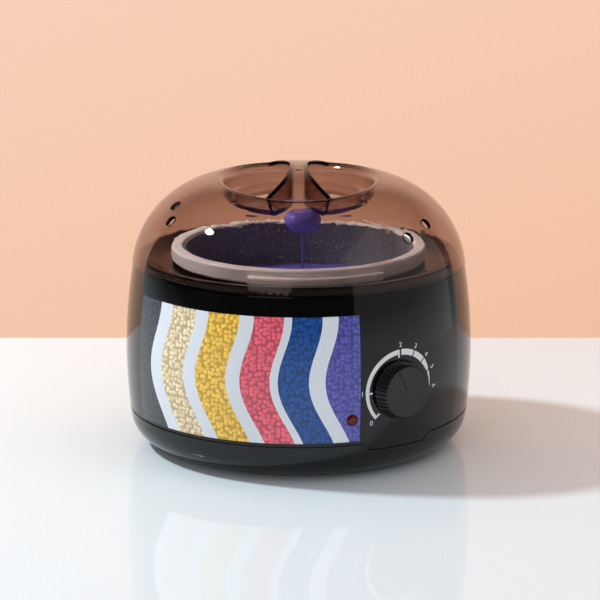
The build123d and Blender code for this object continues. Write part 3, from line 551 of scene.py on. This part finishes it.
def wall_material():
    """Peach from the front, see-through from behind, and small where glossy surfaces mirror it."""
    material, tree, principled = new_material("wall")
    clear = add_node(tree, "ShaderNodeBsdfTransparent")
    geometry = add_node(tree, "ShaderNodeNewGeometry")
    place = add_node(tree, "ShaderNodeSeparateXYZ", inputs={"Vector": geometry.outputs["Position"]})
    # Painted shade: the wall's colour deepens downwards and to the right.
    at_foot, to_right, upwards = wall_painted_shade
    across = math(tree, "MULTIPLY_ADD", place.outputs["X"], to_right, at_foot)
    painted_shade_share = math(tree, "MULTIPLY_ADD", place.outputs["Z"], upwards, across, clamp=True)
    shade = ramp(tree, painted_shade_share, (0.0, wall_lit_peach), (1.0, wall_shaded_peach))
    glow = add_node(tree, "ShaderNodeEmission", inputs={"Color": shade, "Strength": 1.0})
    aside = math(tree, "GREATER_THAN", math(tree, "ABSOLUTE", place.outputs["X"]), mirrored_half_width)
    above = add_node(tree, "ShaderNodeMapRange", interpolation_type="SMOOTHSTEP",
                     inputs={0: place.outputs["Z"], 1: mirrored_height[0], 2: mirrored_height[1]}).outputs[0]
    outside = math(tree, "MAXIMUM", aside, above)
    glossy = add_node(tree, "ShaderNodeLightPath").outputs["Is Glossy Ray"]
    hidden = math(tree, "MAXIMUM", math(tree, "MULTIPLY", outside, glossy), geometry.outputs["Backfacing"])
    mix = add_node(tree, "ShaderNodeMixShader", inputs={0: hidden, 1: glow.outputs[0], 2: clear.outputs[0]})
    tree.links.new(mix.outputs[0], tree.nodes["Material Output"].inputs["Surface"])
    tree.nodes.remove(principled)
    return material


stage_plane("table_top", [(-table_reach, -table_reach, 0), (table_reach, -table_reach, 0),
                          (table_reach, table_reach, 0), (-table_reach, table_reach, 0)], table_material())
wall = stage_plane("wall", [(-backdrop_half_width, wall_distance, 0),
                            (backdrop_half_width, wall_distance, 0),
                            (backdrop_half_width, wall_distance, backdrop_height),
                            (-backdrop_half_width, wall_distance, backdrop_height)], wall_material())
wall.visible_shadow = False

# %% Lights
def soft_box(name, place, target, size, power, colour=(1.0, 1.0, 1.0), shape="RECTANGLE"):
    """A flat lamp at place that looks at target; it is not seen by the camera itself."""
    lamp = bpy.data.lights.new(name, "AREA")
    lamp.shape = shape
    lamp.size, lamp.size_y = size
    lamp.energy = power
    lamp.color = colour
    thing = bpy.data.objects.new(name, lamp)
    place = np.array(place, float)
    direction = np.array(target, float) - place
    thing.location = place
    thing.rotation_euler = Vector(direction).to_track_quat("-Z", "Y").to_euler()
    thing.visible_camera = False
    bpy.context.scene.collection.objects.link(thing)
    return thing


key_distance, key_behind, key_rise = 1.5, np.radians(9.0), np.radians(50.0)
key_place = key_distance * np.array((-np.cos(key_rise) * np.cos(key_behind),
                                     np.cos(key_rise) * np.sin(key_behind), np.sin(key_rise)))
soft_box("key", key_place, target=(0, 0, 0.06), size=(0.16, 0.11), power=15.0,
         colour=(0.84, 0.96, 1.0), shape="ELLIPSE")
soft_box("white_board", (0.42, -0.21, 0.375), target=(0.0, -0.21, 0.375), size=(0.78, 0.75), power=0.6)
front_fill = soft_box("front_fill", (-0.5, -1.4, 0.5), target=(0.0, 0.0, 0.03), size=(0.8, 0.5),
                      power=2.5)
front_fill.visible_glossy = False

# %% World
room_colour = (0.97, 0.98, 1.0)
room_strength, mirrored_strength = 0.45, 0.015    # for matt surfaces, and for glossy ones


def room():
    """A pale room that fills the shadows, dark where a glossy surface would mirror it."""
    world = bpy.data.worlds.new("room")
    bpy.context.scene.world = world
    world.use_nodes = True
    tree = world.node_tree
    background = tree.nodes["Background"]
    background.inputs["Color"].default_value = (*room_colour, 1.0)
    glossy = add_node(tree, "ShaderNodeLightPath").outputs["Is Glossy Ray"]
    strength = add_node(tree, "ShaderNodeMapRange",
                        inputs={0: glossy, 3: room_strength, 4: mirrored_strength})
    tree.links.new(strength.outputs[0], background.inputs["Strength"])


room()
